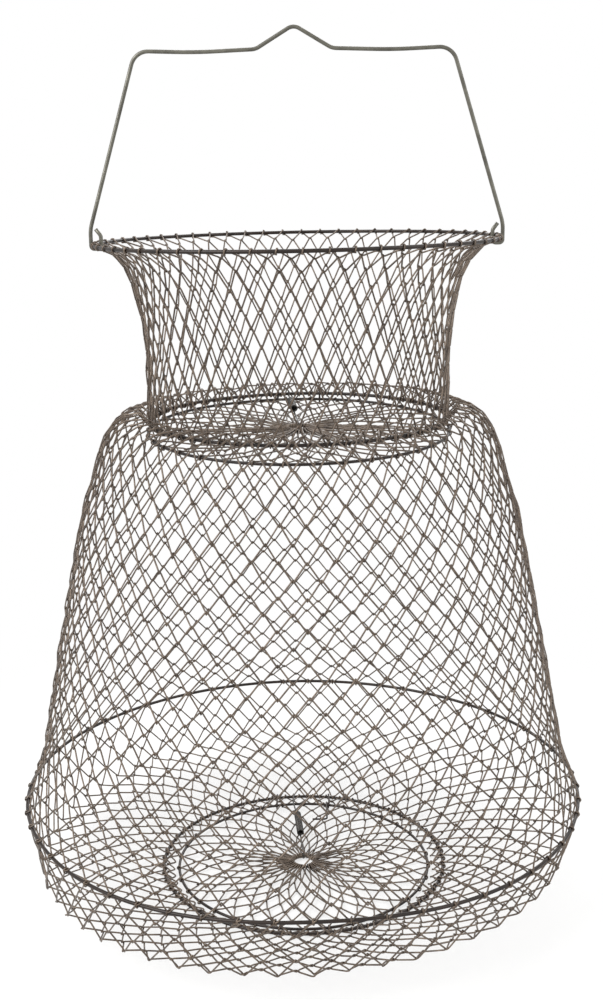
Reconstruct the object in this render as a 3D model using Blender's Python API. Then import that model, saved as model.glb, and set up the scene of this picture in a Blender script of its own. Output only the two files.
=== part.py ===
"""Collapsible wire fish basket with a sprung door in its neck, another in its floor, and a swinging bail.

Lengths are in metres and angles in degrees. The origin is the middle of the face that the basket stands
on. +Z is up, and both doors hinge at the back, which is +Y. The basket is drawn out to its full height.

Round wire is drawn as a hexagonal bar whose flats are the wire's diameter apart. The knitted wire walls
are drawn as a diamond lattice that is coarser than the real net, with strands sized to weigh the same.
"""

import math

import bmesh
import bpy
from mathutils import Matrix, Vector

# Clearances
CLEARANCE = 0.0003  # between pieces that touch on the real basket
EYE_SLACK = 0.0004  # between the sides of the bail's eyes and the rim

# Wire diameters
HOOP_WIRE = 0.0020
RIM_WIRE = 0.0021
NECK_WIRE = 0.0020
BASE_WIRE = 0.0019
DOOR_WIRE = 0.0017
BAIL_WIRE = 0.0022
GATHER_WIRE = 0.0016
HINGE_WIRE = 0.0012
SPRING_WIRE = 0.0009

# Rings, from the wire's centre line
HOOP_RADIUS = 0.1650
RIM_RADIUS = 0.1115
NECK_RADIUS = 0.0845
BASE_RADIUS = 0.0860
TOP_DOOR_RADIUS = NECK_RADIUS + 0.0014
BOTTOM_DOOR_RADIUS = BASE_RADIUS - 0.0100
GATHER_RADIUS = 0.0072

# Heights between the rings' centre lines
BELLY_DEPTH = 0.0541  # base ring to hoop
BODY_HEIGHT = 0.2234  # hoop to neck ring
NECK_HEIGHT = 0.0993  # neck ring to rim

# Net strands and their lattice
STRAND_WIDTH = 0.0018
STRAND_DEPTH = 0.0013
NET_CELLS = 20
NECK_ROWS = 7
BODY_ROWS = 11
BELLY_ROWS = 2
FLOOR_ROWS = 5
DOOR_ROWS = 5

# Neck net: (radius, drop below the rim) of each point that shapes the flare
FLARE = ((0.0997, 0.0054), (0.0954, 0.0109), (0.0893, 0.0276), (0.0855, 0.0500))

# Shoulder of the body net, measured from the neck ring
SHOULDER_CREST_RADIUS = 0.0940
SHOULDER_CREST_RISE = 0.0070
SHOULDER_BEND_RADIUS = 0.1095
SHOULDER_BEND_DROP = 0.0060
SHOULDER_EDGE_RADIUS = 0.1145
SHOULDER_EDGE_DROP = 0.0195

# Wall of the body net, measured from the hoop
WALL_HOLLOW_INSET = 0.0180
WALL_HOLLOW_RISE = 0.0660
WALL_FOOT_INSET = 0.0092
WALL_FOOT_RISE = 0.0250

# Turned-in edge of the bottom net, measured from the hoop
FOLD_INSET = 0.0035
FOLD_DROP = 0.0314

# Doors, at rest
TOP_DOOR_DROP = 0.0038  # door ring below the neck ring, at the hinge
TOP_DOOR_TILT = -2.0  # front edge down
BOTTOM_DOOR_SETBACK = 0.0158  # door ring's back in front of the base ring's centre line
BOTTOM_DOOR_RISE = 0.0021  # hinge above the base ring's centre line
BOTTOM_DOOR_TILT = -0.6  # front edge down
TOP_HINGE_SPREAD = 0.0132  # each hinge loop from the middle
BOTTOM_HINGE_SPREAD = 0.0174

# Keeper that runs on from the right hinge clip over the bottom door and stops it at rest
KEEPER_OFFSET = 0.0018  # to the left of its clip
KEEPER_LEAD = 0.0060  # from the hinge to where it lies along the net
KEEPER_REACH = 0.0225
KEEPER_BEND = 0.0020
KEEPER_FOOT = 0.0095

# Door springs, stretched from a fixed ring over the hinge to the door's gather ring
SPRING_COIL_RADIUS = 0.0018
SPRING_TURNS = 13
SPRING_PITCH = 0.0020  # twice the real spring's, so that the curls stay apart
SPRING_COIL_START = 0.0180  # in front of the hinge
SPRING_SIDESTEP = 0.0064  # fixed end, to the left of the middle

# Bail
EYE_WIDTH = 0.0056
EYE_HEIGHT = 0.0092
EYE_STRAIGHT = 0.0054
EYE_SHOULDER_BEND = 0.0030
EYE_CORNER = 0.0018
KNEE_HEIGHT = 0.0100
KNEE_BEND = 0.0200
BAIL_RISE = 0.1013  # bar above the rim
BAIL_CORNER_HALF_WIDTH = 0.0855
BAIL_CORNER_BEND = 0.0095
BAR_SAG = 0.0012
BAR_SAG_BEND = 0.3000
PEAK_FOOT_HALF_WIDTH = 0.0206
PEAK_FOOT_BEND = 0.0090
PEAK_RISE = 0.0122
PEAK_BEND = 0.0060
TIP_GAP = 0.0007  # between an eye's tip and the leg beside it

# Facets
SECTION_SIDES = 6
RING_FACETS = 40
GATHER_FACETS = 16
CURL_POINTS = 10
BEND_STEPS = 5
PROFILE_STEPS = 24

# Worked out from the values above
CORNER_FACTOR = 1 / math.cos(math.pi / SECTION_SIDES)
CELL_ANGLE = 2 * math.pi / NET_CELLS
BASE_LEVEL = BASE_WIRE / 2
HOOP_LEVEL = BASE_LEVEL + BELLY_DEPTH
NECK_LEVEL = HOOP_LEVEL + BODY_HEIGHT
RIM_LEVEL = NECK_LEVEL + NECK_HEIGHT
BAIL_PIVOT_DROP = RIM_WIRE / 2 + CLEARANCE + BAIL_WIRE / 2


def clear_scene():
    """Removes every object that the file opened with."""
    for item in list(bpy.data.objects):
        bpy.data.objects.remove(item)


def wire_finish(name, colour, roughness):
    """A Principled material for lacquered steel wire."""
    finish = bpy.data.materials.new(name)
    finish.use_nodes = True
    shader = finish.node_tree.nodes["Principled BSDF"]
    shader.inputs["Base Color"].default_value = (*colour, 1)
    shader.inputs["Roughness"].default_value = roughness
    shader.inputs["Metallic"].default_value = 0.85
    return finish


def empty(name, location, tilt=0.0, parent=None):
    """A guide that carries the pieces of one moving group. A positive tilt lifts its front."""
    guide = bpy.data.objects.new(name, None)
    bpy.context.scene.collection.objects.link(guide)
    guide.location = location
    guide.rotation_euler = (math.radians(-tilt), 0, 0)
    guide.parent = parent
    return guide


def place(name, data, finish, parent):
    """Links a mesh or curve as the named piece of a group."""
    data.materials.append(finish)
    piece = bpy.data.objects.new(name, data)
    bpy.context.scene.collection.objects.link(piece)
    piece.parent = parent
    return piece


def corner_radius(wire):
    """How far a hexagonal bar's corners lie from its centre line."""
    return wire / 2 * CORNER_FACTOR


def wire_ring(name, radius, wire, facets, finish, parent, centre=(0, 0, 0)):
    """A level ring of wire, spun from its section."""
    shape = bmesh.new()
    reach = corner_radius(wire)
    corners = []
    for side in range(SECTION_SIDES):
        angle = 2 * math.pi * side / SECTION_SIDES
        corners.append(shape.verts.new((radius + reach * math.cos(angle), 0, reach * math.sin(angle))))
    edges = [shape.edges.new((corners[i - 1], corners[i])) for i in range(SECTION_SIDES)]
    bmesh.ops.spin(
        shape,
        geom=edges,
        cent=(0, 0, 0),
        axis=(0, 0, 1),
        angle=2 * math.pi,
        steps=facets,
        use_merge=True,
    )
    bmesh.ops.translate(shape, verts=shape.verts, vec=centre)
    bmesh.ops.recalc_face_normals(shape, faces=shape.faces)
    mesh = bpy.data.meshes.new(name)
    shape.to_mesh(mesh)
    shape.free()
    return place(name, mesh, finish, parent)


def wire_tube(name, points, wire, finish, parent, closed=False):
    """A wire that follows points, capped at its ends unless it is closed."""
    curve = bpy.data.curves.new(name, "CURVE")
    curve.dimensions = "3D"
    curve.bevel_depth = corner_radius(wire)
    curve.bevel_resolution = 1
    curve.use_fill_caps = True
    spline = curve.splines.new("POLY")
    spline.points.add(len(points) - 1)
    for slot, point in zip(spline.points, points):
        slot.co = (*point, 1)
    spline.use_cyclic_u = closed
    return place(name, curve, finish, parent)


def arc(centre, radius, start, end, steps):
    """Points of an arc in a plane, as (across, up), with the angles in degrees."""
    points = []
    for step in range(steps + 1):
        angle = math.radians(start + (end - start) * step / steps)
        points.append(Vector((centre[0] + radius * math.cos(angle), centre[1] + radius * math.sin(angle))))
    return points


def bent_wire(corners):
    """A flat path through (point, bend radius) corners, with each bend drawn as an arc."""
    path = [Vector(corners[0][0])]
    for index in range(1, len(corners) - 1):
        corner = Vector(corners[index][0])
        bend = corners[index][1]
        back = (Vector(corners[index - 1][0]) - corner).normalized()
        ahead = (Vector(corners[index + 1][0]) - corner).normalized()
        half = back.angle(ahead) / 2
        middle = corner + (back + ahead).normalized() * bend / math.sin(half)
        first = corner + back * bend / math.tan(half) - middle
        last = corner + ahead * bend / math.tan(half) - middle
        sweep = first.angle_signed(last)
        for step in range(BEND_STEPS + 1):
            path.append(middle + Matrix.Rotation(-sweep * step / BEND_STEPS, 2) @ first)
    path.append(Vector(corners[-1][0]))
    return path


def smooth_profile(points):
    """A curve through (radius, height) points, each stretch a Catmull-Rom piece."""
    spots = [Vector(point) for point in points]
    spots = [2 * spots[0] - spots[1], *spots, 2 * spots[-1] - spots[-2]]
    curve = []
    for index in range(1, len(spots) - 2):
        before, start, end, after = spots[index - 1 : index + 3]
        for step in range(PROFILE_STEPS):
            t = step / PROFILE_STEPS
            curve.append(
                0.5
                * (
                    2 * start
                    + (end - before) * t
                    + (2 * before - 5 * start + 4 * end - after) * t**2
                    + (3 * start - before - 3 * end + after) * t**3
                )
            )
    curve.append(spots[-2])
    return curve


def along(curve, distance):
    """The point at a distance along a curve."""
    for start, end in zip(curve, curve[1:]):
        step = (end - start).length
        if distance <= step:
            return start.lerp(end, distance / step)
        distance -= step
    return curve[-1]


def net_rows(curve, count, trim_start=True, trim_end=True):
    """Evenly spaced points on a profile. A trimmed end leaves room for the tips of the net."""
    length = sum((end - start).length for start, end in zip(curve, curve[1:]))
    first = STRAND_WIDTH / 2 if trim_start else 0
    last = length - (STRAND_WIDTH / 2 if trim_end else 0)
    return [along(curve, first + (last - first) * row / count) for row in range(count + 1)]


def ring_seat(centre, wire, toward):
    """The point beside a ring's wire where a net that comes from the point toward ends."""
    centre = Vector(centre)
    return centre + (Vector(toward) - centre).normalized() * (corner_radius(wire) + CLEARANCE)


def net_piece(name, rows, phase, finish, parent, centre=(0, 0, 0)):
    """A diamond lattice round the Z axis, as one closed body.

    rows are (radius, height) points down the profile. phase shifts the first row's knots, in cells.
    Each knot has four corners on the face of the net and a ridge point behind it. Each strand is a
    three-sided bar between two knots.
    """
    shape = bmesh.new()
    knots = []
    for index, row in enumerate(rows):
        above = rows[max(index - 1, 0)]
        below = rows[min(index + 1, len(rows) - 1)]
        down = (below - above).normalized()
        out = Vector((-down.y, down.x))
        pitch = (below - above).length / (min(index + 1, len(rows) - 1) - max(index - 1, 0))
        lean = math.atan2(pitch, row.x * CELL_ANGLE / 2)
        side = STRAND_WIDTH / 2 / math.sin(lean)
        crotch = STRAND_WIDTH / 2 / math.cos(lean)
        up_reach = STRAND_WIDTH / 2 if index == 0 else crotch
        down_reach = STRAND_WIDTH / 2 if index == len(rows) - 1 else crotch
        face = row + out * STRAND_DEPTH / 2
        ridge = row - out * STRAND_DEPTH / 2
        ring = []
        for cell in range(NET_CELLS):
            turn = (cell + phase + index / 2) * CELL_ANGLE
            slip = side / row.x
            spots = (
                (face, turn + slip),
                (face - down * up_reach, turn),
                (face, turn - slip),
                (face + down * down_reach, turn),
                (ridge, turn),
            )
            ring.append(
                [shape.verts.new((p.x * math.cos(a), p.x * math.sin(a), p.y)) for p, a in spots]
            )
        knots.append(ring)
    for index, ring in enumerate(knots):
        for cell, (right, up, left, down, ridge) in enumerate(ring):
            shape.faces.new((right, up, left, down))
            if index == 0:
                shape.faces.new((right, ridge, up))
                shape.faces.new((up, ridge, left))
            if index == len(knots) - 1:
                shape.faces.new((left, ridge, down))
                shape.faces.new((down, ridge, right))
                continue
            right_low = knots[index + 1][cell]
            left_low = knots[index + 1][cell - 1]
            shape.faces.new((right, down, right_low[2], right_low[1]))
            shape.faces.new((down, ridge, right_low[4], right_low[2]))
            shape.faces.new((ridge, right, right_low[1], right_low[4]))
            shape.faces.new((down, left, left_low[1], left_low[0]))
            shape.faces.new((ridge, down, left_low[0], left_low[4]))
            shape.faces.new((left, ridge, left_low[4], left_low[1]))
    bmesh.ops.translate(shape, verts=shape.verts, vec=centre)
    bmesh.ops.triangulate(shape, faces=shape.faces)
    bmesh.ops.recalc_face_normals(shape, faces=shape.faces)
    mesh = bpy.data.meshes.new(name)
    shape.to_mesh(mesh)
    shape.free()
    return place(name, mesh, finish, parent)


def build_neck_net(finish, parent):
    """The flared sleeve from the rim down to the neck ring, in the neck ring's frame."""
    points = [(radius, -drop) for radius, drop in FLARE]
    top = ring_seat((RIM_RADIUS, 0), RIM_WIRE, points[0])
    bottom = ring_seat((NECK_RADIUS, -NECK_HEIGHT), NECK_WIRE, points[-1])
    rows = net_rows(smooth_profile([top, *points, bottom]), NECK_ROWS)
    return net_piece("neck_net", rows, 0.5, finish, parent, (0, 0, NECK_HEIGHT))


def build_body_net(finish, parent):
    """The wall from the neck ring over the shoulder and down to the hoop, in the hoop's frame."""
    points = [
        (SHOULDER_CREST_RADIUS, SHOULDER_CREST_RISE),
        (SHOULDER_BEND_RADIUS, -SHOULDER_BEND_DROP),
        (SHOULDER_EDGE_RADIUS, -SHOULDER_EDGE_DROP),
        (HOOP_RADIUS - WALL_HOLLOW_INSET, WALL_HOLLOW_RISE - BODY_HEIGHT),
        (HOOP_RADIUS - WALL_FOOT_INSET, WALL_FOOT_RISE - BODY_HEIGHT),
    ]
    top = ring_seat((NECK_RADIUS, 0), NECK_WIRE, points[0])
    bottom = ring_seat((HOOP_RADIUS, -BODY_HEIGHT), HOOP_WIRE, points[-1])
    rows = net_rows(smooth_profile([top, *points, bottom]), BODY_ROWS)
    return net_piece("body_net", rows, 0, finish, parent, (0, 0, BODY_HEIGHT))


def build_bottom_net(finish, parent):
    """The skirt below the hoop, its toothed fold and the floor round the base ring, in the base's frame."""
    fold = (HOOP_RADIUS - FOLD_INSET, BELLY_DEPTH - FOLD_DROP)
    top = ring_seat((HOOP_RADIUS, BELLY_DEPTH), HOOP_WIRE, fold)
    inner = ring_seat((BASE_RADIUS, 0), BASE_WIRE, fold)
    skirt = net_rows([top, Vector(fold)], BELLY_ROWS, trim_end=False)
    floor = net_rows([Vector(fold), inner], FLOOR_ROWS, trim_start=False)
    return net_piece("bottom_net", skirt + floor[1:], 0, finish, parent)


def build_door(place_name, radius, phase, rings, net, parent):
    """A door's ring, its gathered net and the small ring in its middle, in its hinge's frame."""
    middle = (0, -radius, 0)
    wire_ring(f"{place_name}_door_ring", radius, DOOR_WIRE, RING_FACETS, rings, parent, middle)
    wire_ring(
        f"{place_name}_gather_ring", GATHER_RADIUS, GATHER_WIRE, GATHER_FACETS, rings, parent, middle
    )
    outer = ring_seat((radius, 0), DOOR_WIRE, (0, 0))
    inner = ring_seat((GATHER_RADIUS, 0), GATHER_WIRE, (radius, 0))
    net_piece(f"{place_name}_door_net", net_rows([outer, inner], DOOR_ROWS), phase, net, parent, middle)


def least_gap(points, wire):
    """The smallest gap between stretches of a wire that are more than half a curl apart."""
    apart = math.pi * SPRING_COIL_RADIUS
    walked = [0.0]
    for start, end in zip(points, points[1:]):
        walked.append(walked[-1] + (end - start).length)
    gaps = []
    for first in range(len(points)):
        for second in range(first + 1, len(points)):
            if walked[second] - walked[first] > apart:
                gaps.append((points[second] - points[first]).length - 2 * corner_radius(wire))
    return min(gaps)


def build_spring(name, fixed_ring, hook_angles, door_hinge, tilt, middle, over_ring, finish, parent):
    """A tension spring: a hook round the fixed ring, the curls, and an arm that hooks the gather ring.

    fixed_ring is (radius, wire) of the ring that the hook holds. hook_angles are where the hook starts
    and lets go, seen from +X. door_hinge is (y, z). middle is the door's middle in front of the hinge.
    over_ring is the height at which the leg crosses the door's ring, or None.
    """
    lift = Matrix.Rotation(math.radians(-tilt), 2)

    def on_door(ahead, height):
        spot = lift @ Vector((-ahead, height))
        return Vector((door_hinge[0] + spot.x, door_hinge[1] + spot.y))

    ring_radius, ring_wire = fixed_ring
    hook = corner_radius(ring_wire) + CLEARANCE + SPRING_WIRE / 2
    grip = corner_radius(GATHER_WIRE) + CLEARANCE + SPRING_WIRE / 2
    lying = STRAND_DEPTH / 2 + CLEARANCE + SPRING_WIRE / 2
    ring_y = math.sqrt(ring_radius**2 - SPRING_SIDESTEP**2)
    flat = arc((ring_y, 0), hook, hook_angles[0], hook_angles[1], CURL_POINTS)
    if over_ring is not None:
        flat.append(on_door(0, over_ring))
    points = [Vector((-SPRING_SIDESTEP, spot.x, spot.y)) for spot in flat]
    arm_end = middle - GATHER_RADIUS
    for step in range(SPRING_TURNS * CURL_POINTS + 1):
        turn = 2 * math.pi * step / CURL_POINTS
        ahead = SPRING_COIL_START + SPRING_PITCH * step / CURL_POINTS
        axis_x = -SPRING_SIDESTEP * (arm_end - ahead) / (arm_end + ring_y - door_hinge[0])
        spot = on_door(ahead, lying + SPRING_COIL_RADIUS * (1 - math.cos(turn)))
        points.append(Vector((axis_x + SPRING_COIL_RADIUS * math.sin(turn), spot.x, spot.y)))
    for across, up in arc((-arm_end, 0), grip, 90, 270, CURL_POINTS):
        spot = on_door(-across, up)
        points.append(Vector((0, spot.x, spot.y)))
    print(f"{name}: least gap between curls {least_gap(points, SPRING_WIRE) * 1000:.2f} mm")
    return wire_tube(name, points, SPRING_WIRE, finish, parent)


def build_top_hinge_loops(finish, parent):
    """Two closed loops that hang the top door's ring from the neck ring, in the neck's frame."""
    reach = corner_radius(NECK_WIRE) + CLEARANCE + HINGE_WIRE / 2
    upper = Vector((math.sqrt(NECK_RADIUS**2 - TOP_HINGE_SPREAD**2), 0))
    lower = Vector((math.sqrt(TOP_DOOR_RADIUS**2 - TOP_HINGE_SPREAD**2), -TOP_DOOR_DROP))
    steep = math.degrees(math.atan2(upper.y - lower.y, upper.x - lower.x))
    outline = arc(upper, reach, steep - 90, steep + 90, CURL_POINTS)
    outline += arc(lower, reach, steep + 90, steep + 270, CURL_POINTS)
    for side, name in ((-1, "top_hinge_loop_left"), (1, "top_hinge_loop_right")):
        points = [(side * TOP_HINGE_SPREAD, spot.x, spot.y) for spot in outline]
        wire_tube(name, points, HINGE_WIRE, finish, parent, closed=True)


def build_bottom_hinge_clips(hinge_y, finish, parent):
    """Two wire clips from the base ring that end in an eye round the bottom door's ring.

    The right clip's wire leaves its eye again, lies along the door's net and ends in a foot. It is what
    the spring pulls the door up against.
    """
    hold = corner_radius(BASE_WIRE) + CLEARANCE + HINGE_WIRE / 2
    grip = corner_radius(DOOR_WIRE) + CLEARANCE + HINGE_WIRE / 2
    lying = STRAND_DEPTH / 2 + CLEARANCE + HINGE_WIRE / 2
    lowest = math.degrees(math.asin((BASE_WIRE / 2 - HINGE_WIRE / 2 - CLEARANCE / 2) / hold))
    base_y = math.sqrt(BASE_RADIUS**2 - BOTTOM_HINGE_SPREAD**2)
    over = arc((base_y, 0), hold, -lowest, 100, CURL_POINTS)
    eye = arc((hinge_y, BOTTOM_DOOR_RISE), grip, 90, 360, CURL_POINTS)
    left = [(-BOTTOM_HINGE_SPREAD, spot.x, spot.y) for spot in over + eye]
    wire_tube("bottom_hinge_clip_left", left, HINGE_WIRE, finish, parent)

    right = [Vector((BOTTOM_HINGE_SPREAD, spot.x, spot.y)) for spot in over]
    eye = arc((hinge_y, BOTTOM_DOOR_RISE), grip, 90, 450, CURL_POINTS)
    for step, spot in enumerate(eye):
        right.append(Vector((BOTTOM_HINGE_SPREAD - KEEPER_OFFSET * step / CURL_POINTS, spot.x, spot.y)))
    tilt = Matrix.Rotation(math.radians(BOTTOM_DOOR_TILT), 2)
    start_x = BOTTOM_HINGE_SPREAD - KEEPER_OFFSET
    for across, ahead in (
        (start_x, KEEPER_LEAD),
        (start_x, KEEPER_REACH - KEEPER_BEND),
        (start_x - KEEPER_BEND * 0.3, KEEPER_REACH - KEEPER_BEND * 0.3),
        (start_x - KEEPER_BEND, KEEPER_REACH),
        (start_x - KEEPER_FOOT, KEEPER_REACH),
    ):
        spot = tilt @ Vector((ahead, lying))
        right.append(Vector((across, hinge_y - spot.x, BOTTOM_DOOR_RISE + spot.y)))
    wire_tube("bottom_hinge_clip_right", right, HINGE_WIRE, finish, parent)


def build_bail(finish, parent):
    """The bail, with a flattened eye round the rim at each end, in the frame of its pivot."""
    eye_out = RIM_RADIUS + corner_radius(RIM_WIRE) + EYE_SLACK + BAIL_WIRE / 2
    eye_in = eye_out - EYE_WIDTH
    tip = (eye_out - BAIL_WIRE - TIP_GAP, EYE_HEIGHT)
    bar = BAIL_PIVOT_DROP + BAIL_RISE
    sag = ((BAIL_CORNER_HALF_WIDTH + PEAK_FOOT_HALF_WIDTH) / 2, bar - BAR_SAG)
    half = [
        (tip, 0),
        ((eye_in, EYE_STRAIGHT), EYE_SHOULDER_BEND),
        ((eye_in, 0), EYE_CORNER),
        ((eye_out, 0), EYE_CORNER),
        ((eye_out, KNEE_HEIGHT), KNEE_BEND),
        ((BAIL_CORNER_HALF_WIDTH, bar), BAIL_CORNER_BEND),
        (sag, BAR_SAG_BEND),
        ((PEAK_FOOT_HALF_WIDTH, bar), PEAK_FOOT_BEND),
    ]
    other = [((-point[0], point[1]), bend) for point, bend in reversed(half)]
    path = bent_wire([*half, ((0, bar + PEAK_RISE), PEAK_BEND), *other])
    points = [(spot.x, 0, spot.y) for spot in path]
    return wire_tube("bail", points, BAIL_WIRE, finish, parent)


def build_basket():
    """Builds every piece, grouped by the guide that it moves with."""
    clear_scene()
    dark = wire_finish("browned_steel", (0.055, 0.042, 0.030), 0.42)
    olive = wire_finish("bail_steel", (0.110, 0.100, 0.075), 0.40)
    knit = wire_finish("net_wire", (0.150, 0.125, 0.100), 0.45)
    bright = wire_finish("spring_steel", (0.060, 0.058, 0.055), 0.35)

    base = empty("base", (0, 0, BASE_LEVEL))
    hoop = empty("hoop_slide", (0, 0, HOOP_LEVEL))
    neck = empty("neck_slide", (0, 0, NECK_LEVEL))
    rim = empty("rim_slide", (0, 0, RIM_LEVEL))

    wire_ring("base_ring", BASE_RADIUS, BASE_WIRE, RING_FACETS, dark, base)
    wire_ring("main_hoop", HOOP_RADIUS, HOOP_WIRE, RING_FACETS, dark, hoop)
    wire_ring("neck_ring", NECK_RADIUS, NECK_WIRE, RING_FACETS, dark, neck)
    wire_ring("rim_ring", RIM_RADIUS, RIM_WIRE, RING_FACETS, dark, rim)
    build_bottom_net(knit, base)
    build_body_net(knit, hoop)
    build_neck_net(knit, neck)

    bail_pivot = empty("bail_pivot", (0, 0, -BAIL_PIVOT_DROP), parent=rim)
    build_bail(olive, bail_pivot)

    top_y = math.sqrt(TOP_DOOR_RADIUS**2 - TOP_HINGE_SPREAD**2)
    top_hinge = empty("top_door_hinge", (0, top_y, -TOP_DOOR_DROP), TOP_DOOR_TILT, neck)
    top_middle = empty("top_door_middle", (0, TOP_DOOR_RADIUS - top_y, 0), parent=top_hinge)
    build_door("top", TOP_DOOR_RADIUS, 0, dark, knit, top_middle)
    build_top_hinge_loops(dark, neck)
    build_spring(
        "top_door_spring",
        (NECK_RADIUS, NECK_WIRE),
        (-60, 150),
        (top_y, -TOP_DOOR_DROP),
        TOP_DOOR_TILT,
        top_y,
        None,
        bright,
        neck,
    )

    reach = math.sqrt(BOTTOM_DOOR_RADIUS**2 - BOTTOM_HINGE_SPREAD**2)
    bottom_y = BASE_RADIUS - BOTTOM_DOOR_SETBACK - BOTTOM_DOOR_RADIUS + reach
    bottom_hinge = empty("bottom_door_hinge", (0, bottom_y, BOTTOM_DOOR_RISE), BOTTOM_DOOR_TILT, base)
    bottom_middle = empty("bottom_door_middle", (0, BOTTOM_DOOR_RADIUS - reach, 0), parent=bottom_hinge)
    build_door("bottom", BOTTOM_DOOR_RADIUS, 0.5, dark, knit, bottom_middle)
    build_bottom_hinge_clips(bottom_y, dark, base)
    spring_hold = corner_radius(BASE_WIRE) + CLEARANCE + SPRING_WIRE / 2
    lowest = math.degrees(math.asin((BASE_WIRE / 2 - SPRING_WIRE / 2 - CLEARANCE / 2) / spring_hold))
    build_spring(
        "bottom_door_spring",
        (BASE_RADIUS, BASE_WIRE),
        (-lowest, 100),
        (bottom_y, BOTTOM_DOOR_RISE),
        BOTTOM_DOOR_TILT,
        reach,
        corner_radius(DOOR_WIRE) + CLEARANCE + SPRING_WIRE / 2,
        bright,
        base,
    )


build_basket()
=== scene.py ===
"""Looks of the wire fish basket: its knitted net, lacquered rings, doors, door springs and bail.

Sizes are in millimetres and colours are sRGB hex values. Every piece stands in the CAD part's frame.
"""

import logging
import math
from dataclasses import dataclass
from enum import Enum

import bpy
import numpy as np
from mathutils import Matrix, Vector

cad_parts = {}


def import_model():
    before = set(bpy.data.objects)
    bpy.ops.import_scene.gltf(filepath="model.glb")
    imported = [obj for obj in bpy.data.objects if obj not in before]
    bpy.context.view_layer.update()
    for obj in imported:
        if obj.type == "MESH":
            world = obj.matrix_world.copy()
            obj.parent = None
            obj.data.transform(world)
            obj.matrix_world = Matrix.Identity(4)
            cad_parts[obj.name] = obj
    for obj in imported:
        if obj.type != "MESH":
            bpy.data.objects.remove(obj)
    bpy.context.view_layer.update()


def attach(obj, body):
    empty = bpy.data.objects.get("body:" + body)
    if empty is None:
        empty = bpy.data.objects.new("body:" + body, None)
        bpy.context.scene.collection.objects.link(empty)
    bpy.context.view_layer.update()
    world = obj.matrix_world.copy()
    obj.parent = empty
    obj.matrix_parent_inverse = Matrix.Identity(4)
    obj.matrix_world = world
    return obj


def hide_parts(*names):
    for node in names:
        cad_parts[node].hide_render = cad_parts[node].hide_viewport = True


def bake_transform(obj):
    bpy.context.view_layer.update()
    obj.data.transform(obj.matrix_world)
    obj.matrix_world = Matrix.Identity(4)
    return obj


MM = 0.001

log = logging.getLogger("fish basket")

Array = np.ndarray
Tree = bpy.types.NodeTree
Socket = bpy.types.NodeSocket
Point = tuple[float, float]
Place = tuple[float, float, float]
Colour = tuple[float, float, float, float]


def linear(hex_colour: str) -> Colour:
    """Turns an sRGB hex colour into a linear one.

    Args:
        hex_colour: Six hex digits, such as "3a2c20".

    Returns:
        Linear red, green, blue and an alpha of 1.
    """
    channels = [int(hex_colour[i : i + 2], 16) / 255 for i in (0, 2, 4)]
    red, green, blue = (c / 12.92 if c <= 0.04045 else ((c + 0.055) / 1.055) ** 2.4 for c in channels)
    return red, green, blue, 1.0


def add_node(tree: Tree, kind: str, inputs: dict | None = None, **settings: object) -> bpy.types.Node:
    """Adds a shader node with its settings and links.

    Args:
        tree: The node tree.
        kind: The node's type name.
        inputs: Values or output sockets by input name or index.
        **settings: Attributes of the node.

    Returns:
        The new node.
    """
    node = tree.nodes.new(kind)
    for name, value in settings.items():
        setattr(node, name, value)
    for name, value in (inputs or {}).items():
        if isinstance(value, Socket):
            tree.links.new(value, node.inputs[name])
        else:
            node.inputs[name].default_value = value
    return node


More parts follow.
